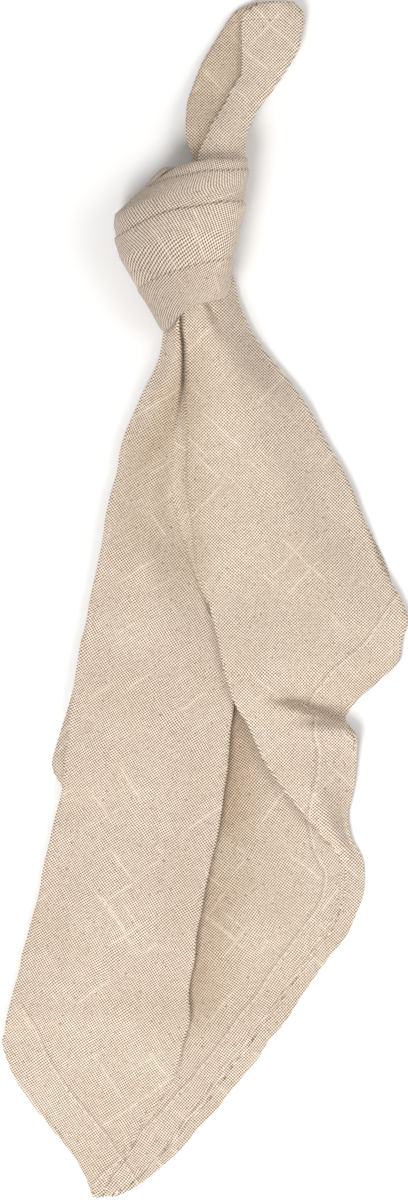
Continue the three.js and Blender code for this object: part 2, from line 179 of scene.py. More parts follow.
def over_under(x, y):
    """Height that the turned-under corner adds to what lies over it."""
    (left_x, left_y), (right_x, right_y) = UNDER_HEM_LEFT, UNDER_HEM_RIGHT
    across = np.clip((np.asarray(x, float) - left_x) / (right_x - left_x), 0, 1)
    hem_y = mix(left_y, right_y, across)
    return LAYER_PITCH * smooth(hem_y - DROP_TO, hem_y - DROP_FROM, y)


# The S-bend at the right: the lobe dips into a trough, then rises steeply over a crest.
CREST_X, CREST_Y, CREST_FALL, CREST_BEND = 25.0, -43.5, 0.10, 0.0052
CREST_RISE, CREST_WIDTH = 3.4, 14.0
TROUGH_DEPTH, TROUGH_WIDTH = 3.6, 14.0
STEEP, CROSS_FADE = 3.4, 16.0


def above_crest(x, y):
    """Distance above the line along which the right lobe rises over a crest from a trough."""
    ahead = np.asarray(x, float) - CREST_X
    return y - (CREST_Y - CREST_FALL * ahead - CREST_BEND * ahead * np.abs(ahead))


def cross_fold(x, y):
    """Height that the trough and the crest add to the right lobe."""
    above = above_crest(x, y) - STEEP / 2
    trough = np.where(above > 0, 1 - smooth(0, TROUGH_WIDTH, above), 1 - smooth(0, STEEP, -above))
    crest = np.where(above < 0, smooth(0, STEEP, -above) - smooth(STEEP, CREST_WIDTH, -above), 0)
    return smooth(0, CROSS_FADE, x - CREST_X) * (crest * CREST_RISE - trough * TROUGH_DEPTH)


# Each outline is a roll with cloth turned under it, or else a hem that lies free. Between the
# folds the cloth is arched, and a level of 1 makes both ends of an arch lie flat.
OUTLINE_ROLL = 1.6
RIGHT_TUCK = (9.0, 5.0)
HEM_FLAT, HEM_SHARE = 1.6, 0.1
FLAP_ENDS = (-190.0, -179.0)
FLAP_START, FLAP_LEAST, FLAP_COUNT = 0.04, 3.0, 16
ROLL_RESTS_AT = 10.0
RIGHT_COUNT, FLOOR_COUNT, LEFT_COUNT = 40, 28, 32
ROLLED_LEVEL, LEFT_LEVEL = 0.6, 0.7
EDGE_CROSS, EDGE_CROSS_FADE = 0.6, (2, 12)
RIGHT_END, RIGHT_RUN, RIGHT_FOLD, FLOOR, LEFT_FOLD, LEFT_RUN, LEFT_END = range(7)


def body_section(row):
    """One cross-section from right to left, and the number of points in each of its seven parts."""
    (y, left, left_edge, left_lap, left_step, left_rise, right_edge, right_lap, right_step,
     right_rise, right, floor, flap, roll, hem_z) = row
    width = right - left
    hem_width = min(HEM_FLAT, HEM_SHARE * width)

    rolled = np.vstack([
        [[right - inward, RESTING] for inward in RIGHT_TUCK],
        turn(right - OUTLINE_ROLL, RESTING + OUTLINE_ROLL, OUTLINE_ROLL, -90, 90),
    ])
    count = len(rolled)
    hem = np.stack([right - hem_width * np.arange(count) / count, np.full(count, hem_z)], axis=1)
    right_end = mix(hem, rolled, roll)
    right_end[:, 1] += EDGE_CROSS * cross_fold(right_end[:, 0], y)
    right_end[:, 1] = np.maximum(right_end[:, 1], RESTING)

    right_fold = fold_step(right_edge, right_lap, floor + right_step, floor, width, 1)
    left_fold = fold_step(left_edge, left_lap, floor + left_step, floor, width, -1)[::-1]
    floor_run = run(right_fold[-1], left_fold[0], FLOOR_COUNT)
    right_run = run(right_end[-1], right_fold[0], RIGHT_COUNT, right_rise, mix(1, ROLLED_LEVEL, roll))
    share = mix(EDGE_CROSS, 1, smooth(*EDGE_CROSS_FADE, right - right_run[:, 0]))
    right_run[:, 1] += share * cross_fold(right_run[:, 0], y)

    roll_x = left + OUTLINE_ROLL
    roll_z = RESTING + over_under(left + ROLL_RESTS_AT, y) + OUTLINE_ROLL
    flap_x = mix(roll_x, max(flap, roll_x + FLAP_LEAST), np.linspace(FLAP_START, 1, FLAP_COUNT))
    rolled = np.vstack([
        turn(roll_x, roll_z, OUTLINE_ROLL, 90, 270),
        np.stack([flap_x, RESTING + over_under(flap_x, y)], axis=1),
    ])
    count = len(rolled)
    hem = np.stack([left + hem_width * np.linspace(1, 0, count), np.full(count, RESTING)], axis=1)
    left_end = mix(hem, rolled, smooth(*FLAP_ENDS, y))
    left_run = run(left_fold[-1], left_end[0], LEFT_COUNT, left_rise, LEFT_LEVEL)

    parts = [right_end, right_run, right_fold, floor_run, left_fold, left_run, left_end]
    points = np.vstack(parts)
    grid = np.stack([points[:, 0], np.full(len(points), y), points[:, 1] - RESTING + HALF], axis=1)
    return grid, [len(part) for part in parts]


rows = fine_rows(BODY, BODY_PITCH, BODY_CLOSE, BODY_CLOSE_PITCH)
sections = [body_section(row) for row in rows]
body = np.array([grid for grid, lengths in sections])
lengths = sections[0][1]
starts = np.cumsum([0] + lengths)
showing = np.isin(np.repeat(range(7), lengths), (RIGHT_END, RIGHT_RUN, FLOOR, LEFT_RUN))

# Below the right lobe the cloth lies down on the table towards its hem.
HEM_SLOPE, LAID_FROM, LAID_FULL = 0.13, -96.0, -116.0
right_part = body[:, :starts[LEFT_FOLD]]
inward = right_part[:, :1, 0] - right_part[..., 0]
laid = 1 - smooth(LAID_FULL, LAID_FROM, right_part[..., 1])
lying = HALF + HEM_SLOPE * np.maximum(inward - HEM_FLAT, 0)
right_part[..., 2] = mix(right_part[..., 2], np.minimum(right_part[..., 2], lying), laid)

# The threads of each layer run in their own direction; it changes inside the folds, out of sight.
RIGHT_TURN, FLOOR_TURN, LEFT_TURN = 47.0, 52.5, 34.0
fold_middle = lengths[RIGHT_FOLD] // 2
right_layer = slice(0, starts[RIGHT_FOLD] + fold_middle)
left_layer = slice(starts[LEFT_FOLD] + fold_middle, None)
floor_layer = slice(right_layer.stop, left_layer.start)


def thread_place(x, y, degrees):
    """Place in the cloth, along its two directions of thread, of a point of a stretch turned so far."""
    angle = math.radians(degrees)
    along = x * math.cos(angle) + y * math.sin(angle)
    across = y * math.cos(angle) - x * math.sin(angle)
    return np.stack([along, across], axis=-1)


turned_layers = ((right_layer, RIGHT_TURN), (floor_layer, FLOOR_TURN), (left_layer, LEFT_TURN))
body_uv = np.concatenate(
    [thread_place(body[:, layer, 0], body[:, layer, 1], degrees) for layer, degrees in turned_layers],
    axis=1,
)

# Hems run along the right outline below the right lobe's fold and along both sides of the free
# corner: for each point of the cloth, its distance from the hemmed edge and its place along it.
# Each line of a hem goes on straight past its ends, as the seam under it does.
HEM_WIDTH = 17.5
HEM_BEYOND = 45.0
NO_HEM = (200.0, 200.0)
RIGHT_HEM_TOP, LEFT_HEM_TOP, HEM_BOTTOM = -25, -195, -246
UPPER_GOES_ON = [(0.56, 0.83), (-0.56, -0.83)]
LOWER_GOES_ON = [(0.1, 1.0), (-0.67, -0.74)]
LEFT_GOES_ON = [(-0.5, 0.87), (0.55, -0.83)]


def hem_line(points, goes_on):
    """A line with one more point before its start and one past its end, in the directions given."""
    before, past = np.array(goes_on) * HEM_BEYOND
    return np.vstack([points[0] + before, points, points[-1] + past])


def hem_place(points, line):
    """Distance from a line, and place along it, of each point."""
    start, end = line[:-1], line[1:]
    ahead = end - start
    length = np.linalg.norm(ahead, axis=1)
    walked = np.concatenate([[0], np.cumsum(length)])
    t = np.clip(((points[:, None] - start) * ahead).sum(2) / length**2, 0, 1)
    away = np.linalg.norm(points[:, None] - (start + ahead * t[..., None]), axis=2)
    nearest = away.argmin(1)
    each = np.arange(len(points))
    return np.stack([away[each, nearest], walked[nearest] + t[each, nearest] * length[nearest]], axis=1)


right_outline = np.array([[row[ROW_RIGHT], row[ROW_Y]] for row in rows])
left_outline = np.array([[row[ROW_LEFT], row[ROW_Y]] for row in rows])
outline_y = right_outline[:, 1]
past_crest = above_crest(right_outline[:, 0], outline_y) <= 0
upper_line = hem_line(right_outline[(outline_y < RIGHT_HEM_TOP) & ~past_crest], UPPER_GOES_ON)
lower_line = hem_line(right_outline[(outline_y > HEM_BOTTOM) & past_crest], LOWER_GOES_ON)
left_hemmed = (outline_y < LEFT_HEM_TOP) & (outline_y > HEM_BOTTOM)
left_line = hem_line(left_outline[left_hemmed], LEFT_GOES_ON)

flat_points = body[..., :2].reshape(-1, 2)
over_crest = above_crest(flat_points[:, 0], flat_points[:, 1])[:, None] > 0
body_hem = np.where(over_crest, hem_place(flat_points, upper_line), hem_place(flat_points, lower_line))
body_hem = np.where(showing[:, None], body_hem.reshape(body.shape[:2] + (2,)), NO_HEM)
body_tip_hem = hem_place(flat_points, left_line).reshape(body.shape[:2] + (2,))
body_tip_hem = np.where(showing[:, None], body_tip_hem, NO_HEM)

# Wrinkles: long soft creases, listed as start, end, half width and height.
CREASES = [
    ((-11, 96), (-28, 54), 5.0, -1.6), ((12, 112), (44, 30), 9.0, 0.9),
    ((2, 112), (8, 40), 6.0, -0.7), ((20, 96), (62, 20), 7.0, -0.6),
    ((-30, 30), (-44, -70), 8.0, 0.7), ((-22, -10), (-40, -110), 7.0, -0.7),
    ((20, 10), (70, -18), 6.0, -0.7), ((30, 30), (76, 4), 7.0, 0.5),
    ((-30, -90), (-60, -160), 9.0, 0.8), ((-10, -60), (-26, -150), 7.0, 0.6),
    ((10, -110), (30, -150), 8.0, 0.6), ((44, -128), (10, -160), 6.0, 0.5),
    ((-60, -150), (-30, -215), 8.0, -0.6), ((20, -60), (2, -140), 6.0, -0.5),
    ((40, -70), (56, -96), 5.0, 0.6), ((0.5, 131), (6, 122), 1.7, -4.2),
    ((6, 131), (15, 119), 3.0, 1.4), ((-9.5, 116), (-9.5, 88), 1.4, -1.6),
    ((-17, 104), (-27, 10), 6.0, 1.8), ((-10, 84), (-4, 14), 4.0, -0.9),
]
LINE_FADE, LINE_WANDER, LINE_WANDER_LENGTH = 12, 2.0, 23


def soft_lines(table, x, y):
    """The sum, at each place, of soft lines that fade to both sides and at both ends."""
    height = np.zeros_like(x)
    for (x0, y0), (x1, y1), wide, rise in table:
        length = math.hypot(x1 - x0, y1 - y0)
        along = ((x - x0) * (x1 - x0) + (y - y0) * (y1 - y0)) / length
        aside = ((y - y0) * (x1 - x0) - (x - x0) * (y1 - y0)) / length
        aside += LINE_WANDER * np.sin(along / LINE_WANDER_LENGTH + x0)
        begun = smooth(-LINE_FADE, LINE_FADE, along)
        ended = smooth(length - LINE_FADE, length + LINE_FADE, along)
        height += rise * begun * (1 - ended) * np.exp(-((aside / wide) ** 2))
    return height


# A fine unevenness on top of them, as size, height or reach, and seed.
BROAD_SIZE, BROAD_RISE, BROAD_SEED = 27, 0.9, 3.1
FINE_SIZE, FINE_RISE, FINE_SEED = 8, 0.35, 7.7
WAVER_SIZE, WAVER_REACH, WAVER_SEED = 13, 0.7, 21.0
WAVER_LAG = 3
LOOSE_HEIGHT, LEAST_LOOSE = 3, 0.2


def ripple(x, y, z, size, seed):
    return noise.noise(Vector((x / size, y / size, z / size + seed)))


def unsettled(grid, strength=1.0):
    """Lays creases, a fine unevenness and a wavering outline over a stretch, alike on all its layers."""
    x, y = grid[..., 0].copy(), grid[..., 1].copy()
    flat_ripple = np.vectorize(lambda a, b, size, seed: ripple(a, b, 0.0, size, seed))
    broad = BROAD_RISE * flat_ripple(x, y, BROAD_SIZE, BROAD_SEED)
    fine = FINE_RISE * flat_ripple(x, y, FINE_SIZE, FINE_SEED)
    aside = WAVER_REACH * flat_ripple(x, y, WAVER_SIZE, WAVER_SEED)
    loose = np.clip((grid[..., 2] - HALF) / LOOSE_HEIGHT + LEAST_LOOSE, 0, 1)
    grid[..., 2] += strength * loose * (soft_lines(CREASES, x, y) + broad + fine)
    grid[..., 0] += aside
    grid[..., 1] += np.roll(aside, WAVER_LAG, axis=0)
    grid[..., 2] = np.maximum(grid[..., 2], HALF)


# Puckers along the hem's stitches, and the hem's greater thickness up to its seam.
HEM_EXTRA = 0.24
PUCKER_LENGTH, PUCKER_RISE = 7.0, 0.2
PUCKER_DRIFT, PUCKER_DRIFT_LENGTH = 2, 9
PUCKER_FROM = (2, 8)
PUCKER_FADE, SEAM_FADE = (4, 3), (1.2, 0.4)


def within_hem(hem, fade):
    """1 up to a little before the seam, and 0 a little past it."""
    before, past = fade
    return 1 - smooth(HEM_WIDTH - before, HEM_WIDTH + past, hem[..., 0])


drift = PUCKER_DRIFT * np.sin(body_hem[..., 1] / PUCKER_DRIFT_LENGTH)
pucker = 1 + np.sin(body_hem[..., 1] * 2 * math.pi / PUCKER_LENGTH + drift)
pucker *= within_hem(body_hem, PUCKER_FADE) * smooth(*PUCKER_FROM, body_hem[..., 0])
body[..., 2] += PUCKER_RISE * pucker
unsettled(body)
in_either = np.maximum(within_hem(body_hem, SEAM_FADE), within_hem(body_tip_hem, SEAM_FADE))

# Painted shade: where it lies deep between the lobes, or on a steep side, the linen's colour is painted
# darker and warmer, along soft lines of shade.
LOBE_PAINTED_SHADE = [
    ((-8, 116), (-5, 8), 9.0, 0.45), ((-10, 94), (-28, 58), 6.0, 0.5), ((-24, 76), (-32, 16), 10.0, 0.36),
    ((30, -44), (56, -50), 4.0, 0.3), ((-9.5, 116), (-9.5, 86), 1.6, 0.5), ((1.5, 131), (6, 122), 1.8, 1.0),
]
FLOOR_PAINTED_SHADE = [((13, -40), (7, -104), 15.0, 1.15), ((6, -112), (-4, -184), 15.0, 0.75)]
body_painted_shade = soft_lines(LOBE_PAINTED_SHADE, body[..., 0], body[..., 1])
body_painted_shade[:, floor_layer] = soft_lines(FLOOR_PAINTED_SHADE, body[:, floor_layer, 0], body[:, floor_layer, 1])

# All stretches of the cloth go into one mesh. Its maps hold, for each point, its place in the
# weave, its place in the hems, and its painted shade for lying deep and for being turned from the light.
vertices = []
faces = []
maps = {"cloth": [], "hem": [], "tip_hem": [], "shade": []}


def add_cloth(middle, uv, hem=NO_HEM, tip_hem=NO_HEM, half=HALF, deep_shade=0.0, turned_shade=0.0, closed=False):
    """A sheet round a grid of points, with its edges closed; closed where its columns go once round."""
    middle = np.array(middle, float)
    rows, columns = middle.shape[:2]
    if closed:
        across = np.roll(middle, -1, axis=1) - np.roll(middle, 1, axis=1)
    else:
        across = np.gradient(middle, axis=1)
    normal = np.cross(across, np.gradient(middle, axis=0))
    normal /= np.maximum(np.linalg.norm(normal, axis=2, keepdims=True), 1e-9)
    thick = np.broadcast_to(half, (rows, columns))[..., None]
    # The painted shade of each point: how deep it lies, and how far it is turned from the light.
    shade = np.stack([np.broadcast_to(np.clip(v, 0, 1), (rows, columns)) for v in (deep_shade, turned_shade)], axis=-1)
    base = len(vertices)
    for side in (1, -1):
        skin = middle + side * thick * normal
        skin[..., 2] = np.maximum(skin[..., 2], 0.0)
        vertices.extend((skin.reshape(-1, 3) * MM).tolist())
        for name, values in (("cloth", uv), ("hem", hem), ("tip_hem", tip_hem), ("shade", shade)):
            maps[name].extend(np.broadcast_to(values, (rows, columns, 2)).reshape(-1, 2).tolist())

    size = rows * columns
    wrap = columns if closed else columns - 1
    for r in range(rows - 1):
        for c in range(wrap):
            a = base + r * columns + c
            b = base + r * columns + (c + 1) % columns
            faces.append((a, b, b + columns, a + columns))
            faces.append((size + a, size + a + columns, size + b + columns, size + b))
        if not closed:
            a = base + r * columns
            b = a + columns - 1
            faces.append((a, a + columns, size + a + columns, size + a))
            faces.append((b + columns, b, size + b, size + b + columns))
    last = (rows - 1) * columns
    for c in range(wrap):
        a = base + c
        b = base + (c + 1) % columns
        faces.append((b, a, size + a, size + b))
        faces.append((last + a, last + b, size + last + b, size + last + a))


add_cloth(body, body_uv, body_hem, body_tip_hem, HALF + HEM_EXTRA * in_either, body_painted_shade)

# The corner turned under the body, one flat layer of the same linen on the table. Its hem shows
# a little at the left.
# left_x, left_y, right_x, right_y
UNDER = [
    [-10, 132, 12, 132], [-18, 103, 26, 103], [-33, 69, 49, 69], [-41, 34, 66, 40], [-47, 0, 79, 14],
    [-52, -20, 82, -2], [-58, -44, 83, -10], [-63.5, -62, 83, -15], [-65.5, -72, 82, -19],
    [*UNDER_HEM_LEFT, *UNDER_HEM_RIGHT],
]
UNDER_SPACING, UNDER_PITCH, UNDER_COLUMNS = 20, 4.0, 28
leftward = np.linspace(0, 1, UNDER_COLUMNS)[:, None]
under = []
for row in fine_rows([[i * UNDER_SPACING, *ends] for i, ends in enumerate(UNDER)], UNDER_PITCH):
    flat = mix(row[3:5], row[1:3], leftward)
    under.append(np.hstack([flat, np.full((UNDER_COLUMNS, 1), HALF)]))
under = np.array(under)
add_cloth(under, thread_place(under[..., 0], under[..., 1], RIGHT_TURN))

# The band of the knot: four pleats of gathered cloth wrapped once round everything that passes
# through. Each pleat's upper edge is a fold that lies over the pleat above it.
# place across the band, left_x, left_y, right_x, right_y, crown, bow
BAND = np.array([
    [0.00, -23.5, 178.5, 18.2, 190.0, 23.5, 3.5], [0.10, -25.0, 177.0, 18.3, 184.6, 25.5, 1.0],
    [0.25, -37.5, 165.5, 17.0, 178.0, 28.0, 2.5], [0.33, -38.3, 160.5, 16.5, 174.0, 28.7, 3.5],
    [0.40, -37.2, 155.0, 16.9, 170.0, 29.0, 4.0], [0.60, -35.5, 147.0, 14.6, 158.0, 29.0, 3.5],
    [0.75, -27.5, 132.5, 12.2, 146.2, 28.0, 2.5], [0.88, -22.3, 125.0, 10.8, 138.0, 26.5, 2.5],
    [1.00, -17.5, 116.0, 9.2, 130.0, 24.0, 3.0],
])
BAND_LENGTH, BAND_PITCH, BAND_SIDES = 60, 2.2, 112
BAND_WAIST, BAND_FOOT, BAND_CORNER = 11.0, 1.0, 2.6
BOW_SKEW = 0.45

# The band's profile, as place across it and height over it: it comes out of the knot, goes
# through a fold at each pleat's edge, whose place and strength are given, and goes in again.
BAND_IN = [(0.06, -7.0), (0.015, -2.4), (0.0, -0.8), (0.012, 0.3)]
BAND_FOLD = [(-0.012, 0.0), (0.05, -0.45), (0.056, -0.2), (0.05, 0.1), (0, 0.3), (-0.012, 0.6),
             (-0.004, 0.95), (0.02, 1.05), (0.08, 0.8)]
BAND_EDGES = [(0.1, 0.9), (0.4, 1.0), (0.75, 0.55)]
BAND_OUT = [(0.985, 0.6), (1.0, -0.4), (0.99, -2.4), (0.95, -7.0)]

# Its unevenness, as size, reach and seed, which stops where the band lies on the table.
PLEAT_SIZE, PLEAT_REACH, PLEAT_SEED = 16, 0.5, 5.0
CRINKLE_SIZE, CRINKLE_REACH, CRINKLE_SEED = 6, 0.2, 9.0
STRAY_SIZE, STRAY_REACH, STRAY_SEED, STRAY_STRETCH = 14, 1.2, 2.0, 30
RESTS_BELOW = -0.5


def band_path():
    """Place across the band and height over it, along the cloth, through all its pleats."""
    corners = list(BAND_IN)
    for edge, strength in BAND_EDGES:
        corners += [(edge + step, lift * strength) for step, lift in BAND_FOLD]
    corners += BAND_OUT
    path = []
    for (v0, r0), (v1, r1) in zip(corners, corners[1:]):
        steps = max(2, int(abs(v1 - v0) * BAND_LENGTH / BAND_PITCH) + 1)
        path += [(mix(v0, v1, i / steps), mix(r0, r1, i / steps)) for i in range(steps)]
    return path + [corners[-1]]


def squared(value, power):
    """A power of a value's size, with its sign kept, which rounds a square's corners."""
    return math.copysign(abs(value) ** power, value)


def band_point(place, lift, angle):
    """One point of the band: its ring is a rounded square that bows towards the knotted corner."""
    left_x, left_y, right_x, right_y, crown, bow = [
        np.interp(place, BAND[:, 0], BAND[:, k]) for k in range(1, 7)]
    across = squared(math.cos(angle), 2 / BAND_CORNER)
    up = squared(math.sin(angle), 2 / BAND_CORNER)
    reach = crown - BAND_WAIST if up > 0 else BAND_WAIST - HALF - BAND_FOOT
    x = mix(left_x, right_x, (across + 1) / 2)
    y = mix(left_y, right_y, (across + 1) / 2)
    y += bow * (1 - across * across) * (1 - BOW_SKEW * across) * up
    z = BAND_WAIST + up * reach
    outward = Vector((
        squared(across, BAND_CORNER - 1) / max(right_x - left_x, 1),
        0,
        squared(up, BAND_CORNER - 1) / max(2 * reach, 1),
    )).normalized()
    out = lift
    if up > RESTS_BELOW:
        out += PLEAT_REACH * ripple(x, y, z, PLEAT_SIZE, PLEAT_SEED)
        out += CRINKLE_REACH * ripple(x, y, z, CRINKLE_SIZE, CRINKLE_SEED)
    stray = STRAY_REACH * ripple(x, place * STRAY_STRETCH, z, STRAY_SIZE, STRAY_SEED)
    return [x + outward.x * out, y + stray, max(z + outward.z * out, HALF)]


path = np.array(band_path())
walk_steps = np.hypot(np.diff(path[:, 0]) * BAND_LENGTH, np.diff(path[:, 1]))
walk = np.concatenate([[0], np.cumsum(walk_steps)])
angles = [2 * math.pi * i / BAND_SIDES for i in range(BAND_SIDES)]
band = np.array([[band_point(place, lift, angle) for angle in angles] for place, lift in path])
ring_steps = np.linalg.norm(np.diff(band.mean(axis=0), axis=0), axis=1)
round_length = np.concatenate([[0], np.cumsum(ring_steps)])

# The band's threads run aslant, and its left side, turned from the light, is painted in shade.
BAND_TURN = 22.0
BAND_SHADE, BAND_SHADE_REACH = 0.85, 0.6
band_uv = thread_place(*np.meshgrid(round_length, walk), BAND_TURN)
band_painted_shade = BAND_SHADE * smooth(-BAND_SHADE_REACH, BAND_SHADE_REACH, -np.cos(angles))
add_cloth(band, band_uv, turned_shade=band_painted_shade, closed=True)

# The small loop of the same cloth that shows behind the band at its upper left, where the linen
# goes round into the knot. It is one flattened tube, painted wholly in shade since it lies in the band's
# shade.
EAR = [
    [-25.5, 172.5, 11], [-23.5, 177.0, 13], [-20, 181.2, 14.5],
    [-16, 184.2, 15], [-11.5, 184.4, 14.5], [-5, 180, 13],
]
EAR_WIDTH, EAR_HEIGHT = 1.4, 5.0
EAR_SPACING, EAR_PITCH = 8, 1.5
EAR_SIDES, EAR_SIDE = 28, 1.2
ear_table = np.array(fine_rows([[i * EAR_SPACING, *p] for i, p in enumerate(EAR)], EAR_PITCH))[:, 1:]
ear = []
for i, centre in enumerate(ear_table):
    ahead = Vector(ear_table[min(i + 1, len(ear_table) - 1)] - ear_table[max(i - 1, 0)]).normalized()
    aside = ahead.cross(Vector((0, 0, 1))).normalized()
    ring = []
    for k in range(EAR_SIDES):
        angle = 2 * math.pi * k / EAR_SIDES
        place = Vector(centre) + aside * EAR_WIDTH * math.cos(angle)
        ring.append([place.x, place.y, place.z + EAR_HEIGHT * math.sin(angle)])
    ear.append(ring)
ear_uv = [[(k * EAR_SIDE, i * EAR_PITCH) for k in range(EAR_SIDES)] for i in range(len(ear))]
add_cloth(ear, ear_uv, turned_shade=1.0, closed=True)

# The knotted corner above the band: an under layer, a flap folded over it from the right, and the
# recessed left part between. A hem crosses its tip.
# y, left, crease, right, under, flap
TAIL = [
    [178, -1, 1, 15, 9, 15], [189.5, -4, -2, 17.5, 7.5, 16], [202, -8, 2.5, 18.5, 4.6, 14],
    [210.5, -7.5, 7.5, 22.5, 2.6, 11.5], [218.5, -5.5, 11.5, 28.5, 1.2, 9.5], [228, -2.5, 17, 35, 0.6, 8.2],
    [238.5, 3.5, 17, 40.5, 0.6, 7.4], [244.5, 7, 16.5, 41.8, 0.6, 6.8], [249.5, 10.5, 16.8, 42.6, 0.6, 6.2],
    [254, 15, 19.5, 41.8, 0.6, 5.8], [257.5, 23, 26, 38, 0.6, 5.4],
]
TAIL_PITCH, TAIL_TURN = 1.6, 46.0
TAIL_LAP, TAIL_RISE, TAIL_DROP = 4.0, 1.5, 1
TURN_SHARE, LAP_SHARE, UNDER_SHARE = 0.3, 0.2, 0.25
TAIL_UNDER_COUNT, TAIL_FLAP_COUNT, TAIL_TURN_COUNT = 12, 14, 13


def tail_section(row):
    """One cross-section: from under the flap out to the right, over and back, and down to the left."""
    y, left, crease, right, under, flap = row
    width = right - left
    radius = (flap - under) / 2
    turn_width = min(radius, TURN_SHARE * width)
    outline = turn(0, 0, 1, -90, 90, TAIL_TURN_COUNT) * [turn_width, radius]
    outline += [right - turn_width, under + radius]
    low = flap - 2 * LAYER_PITCH
    fold = fold_step(crease, min(TAIL_LAP, LAP_SHARE * width), flap, low, width, 1)
    start = np.array([left + UNDER_SHARE * width, under])
    end = np.array([left, max(under + LAYER_PITCH, low - TAIL_DROP)])
    points = np.vstack([
        start,
        run(start, outline[0], TAIL_UNDER_COUNT),
        outline,
        run(outline[-1], fold[0], TAIL_FLAP_COUNT, TAIL_RISE),
        fold,
        run(fold[-1], end, TAIL_UNDER_COUNT, TAIL_RISE / 2),
        end,
    ])
    return np.stack([points[:, 0], np.full(len(points), y), points[:, 1] - RESTING + HALF], axis=1)


tail = np.array([tail_section(row) for row in fine_rows(TAIL, TAIL_PITCH)])
tail_uv = thread_place(tail[..., 0], tail[..., 1], TAIL_TURN)

# Its hem is seen aslant, so its seam lies closer to the tip than a hem is wide.
SEAM_FROM_TIP = 8.0
TIP_LINE = np.array([[14.0, 257.0], [24.0, 258.5], [38.0, 257.8], [44.0, 252.0]])
TAIL_SEAM_FADE, TAIL_UNSETTLED = (2.5, 1.0), 0.5
# Painted shade: the recessed left part of the knotted corner is painted darker and warmer.
TAIL_PAINTED_SHADE = 0.5
tail_hem = hem_place(tail[..., :2].reshape(-1, 2), TIP_LINE).reshape(tail.shape[:2] + (2,))
tail_hem[..., 0] *= HEM_WIDTH / SEAM_FROM_TIP
unsettled(tail, TAIL_UNSETTLED)
crease_column = 1 + TAIL_UNDER_COUNT + TAIL_TURN_COUNT + TAIL_FLAP_COUNT + fold_middle
recessed = np.arange(tail.shape[1]) >= crease_column
tail_half = HALF + HEM_EXTRA * within_hem(tail_hem, TAIL_SEAM_FADE)
add_cloth(tail, tail_uv, tail_hem, half=tail_half, deep_shade=TAIL_PAINTED_SHADE * recessed)

# The gathers that lie hidden under the two lobes near the knot: the cloth's spare width, folded
# back and forth between the turned-under side and the layers above it.
GATHER_TOP, GATHER_BOTTOM = 122.0, -12.0
GATHER_LEFT, GATHER_RIGHT = 7, 14
GATHER_PITCH, GATHER_HALF, GATHER_LOW = 0.8, 0.25, 3.15
GATHER_COUNT, GATHER_BEND_COUNT = 20, 5
bend = GATHER_PITCH / 2
first, second, third = [GATHER_LOW + GATHER_PITCH * i for i in range(3)]
gather = []
for row in rows[::2]:
    y, start, end = row[ROW_Y], row[ROW_LEFT] + GATHER_LEFT, row[ROW_RIGHT] - GATHER_RIGHT
    if GATHER_BOTTOM < y < GATHER_TOP:
        section = np.vstack([
            run((start, first), (end, first), GATHER_COUNT),
            turn(end, first + bend, bend, -90, 90, GATHER_BEND_COUNT),
            run((end, second), (start, second), GATHER_COUNT),
            turn(start, second + bend, bend, 270, 90, GATHER_BEND_COUNT),
            run((start, third), (end, third), GATHER_COUNT),
        ])
        gather.append(np.stack([section[:, 0], np.full(len(section), y), section[:, 1]], axis=1))
gather = np.array(gather)
add_cloth(gather, thread_place(gather[..., 0], gather[..., 1], RIGHT_TURN), half=GATHER_HALF)

# The napkin: all its stretches in one object, since they are one cloth.
mesh = bpy.data.meshes.new("linen_napkin")
mesh.from_pydata(vertices, [], faces)
loops = np.zeros(len(mesh.loops), int)
mesh.loops.foreach_get("vertex_index", loops)
for name, values in maps.items():
    layer = mesh.uv_layers.new(name=name)
    layer.data.foreach_set("uv", np.array(values)[loops].ravel())
mesh.shade_smooth()
napkin = bpy.data.objects.new("linen_napkin", mesh)
bpy.context.scene.collection.objects.link(napkin)
bpy.ops.object.select_all(action="DESELECT")
napkin.select_set(True)
bpy.context.view_layer.objects.active = napkin
bpy.ops.object.mode_set(mode="EDIT")
bpy.ops.mesh.select_all(action="SELECT")
bpy.ops.mesh.normals_make_consistent(inside=False)
bpy.ops.object.mode_set(mode="OBJECT")

# Linen: an undyed plain weave of uneven threads, with thick pale slubs and small brown flecks.
LINEN_DARK = (0.36, 0.255, 0.165, 1.0)
LINEN_PALE = (0.95, 0.85, 0.74, 1.0)
LINEN_GAP = (0.13, 0.08, 0.045, 1.0)
FLECK = (0.17, 0.10, 0.055, 1.0)
# Tints of the painted shade: warm where the cloth lies deep, grey where it is turned from the light.
DEEP_SHADE_TINT = (0.76, 0.68, 0.60, 1.0)
TURNED_SHADE_TINT = (0.70, 0.69, 0.69, 1.0)

linen = bpy.data.materials.new("linen")
linen.use_nodes = True
tree = linen.node_tree
tree.nodes.clear()


